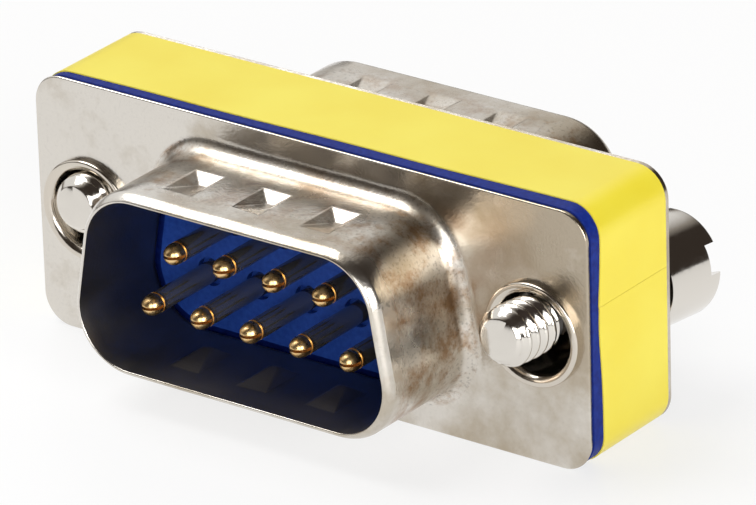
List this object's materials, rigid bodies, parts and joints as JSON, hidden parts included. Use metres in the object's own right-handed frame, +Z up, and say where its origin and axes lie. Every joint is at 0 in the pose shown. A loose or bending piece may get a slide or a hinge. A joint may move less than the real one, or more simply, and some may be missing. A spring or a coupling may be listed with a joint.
{
  "type": "d-sub gender changer",
  "caption": "Slim back-to-back D-sub plug adapter: two metal D shells with contact pins, a moulded body wrapped in yellow tape, and loose slotted jackscrews at the ends.",
  "frame": {"origin": "on the surface that the connector stands on, under the middle of its body", "axes": "+X along the flange to the right seen from the front hood, +Y to the rear hood, +Z up"},
  "size_m": [0.0308, 0.0189, 0.0126],
  "materials": {
    "nickel_shell": "bright nickel plate on pressed steel",
    "nickel_bush": "bright nickel plate",
    "nickel_screw": "bright nickel plate on a turned screw",
    "spring_steel": "plain",
    "gold_contact": "gold flash",
    "blue_plastic": "moulded, satin",
    "yellow_tape": "printed vinyl tape, left bare"
  },
  "bodies": {
    "connector": {"front_shell": "nickel_shell", "rear_shell": "nickel_shell", "front_insulator": "blue_plastic", "rear_insulator": "blue_plastic", "label_band": "yellow_tape", "left_eyelet": "nickel_bush", "right_eyelet": "nickel_bush", "pin_1": "gold_contact", "pin_2": "gold_contact", "pin_3": "gold_contact", "pin_4": "gold_contact", "pin_5": "gold_contact", "pin_6": "gold_contact", "pin_7": "gold_contact", "pin_8": "gold_contact", "pin_9": "gold_contact"},
    "left_ring": {"left_snap_ring": "spring_steel"},
    "left_screw": {"left_jackscrew": "nickel_screw"},
    "right_ring": {"right_snap_ring": "spring_steel"},
    "right_screw": {"right_jackscrew": "nickel_screw"}
  },
  "joints": [
    {"name": "left_float", "type": "slide", "parent": "connector", "child": "left_ring", "axis": [0, 0.9945, -0.1049], "range_m": [-0.0017, 0.0003]},
    {"name": "left_turn", "type": "hinge", "parent": "left_ring", "child": "left_screw", "pos_m": [-0.01249, 0.001, 0.00628], "axis": [0, 0.9945, -0.1049], "continuous": true},
    {"name": "right_float", "type": "slide", "parent": "connector", "child": "right_ring", "axis": [0, 0.9945, -0.1049], "range_m": [-0.0001, 0.0019]},
    {"name": "right_turn", "type": "hinge", "parent": "right_ring", "child": "right_screw", "pos_m": [0.01249, 0.001, 0.00628], "axis": [0, 0.9945, -0.1049], "continuous": true}
  ]
}
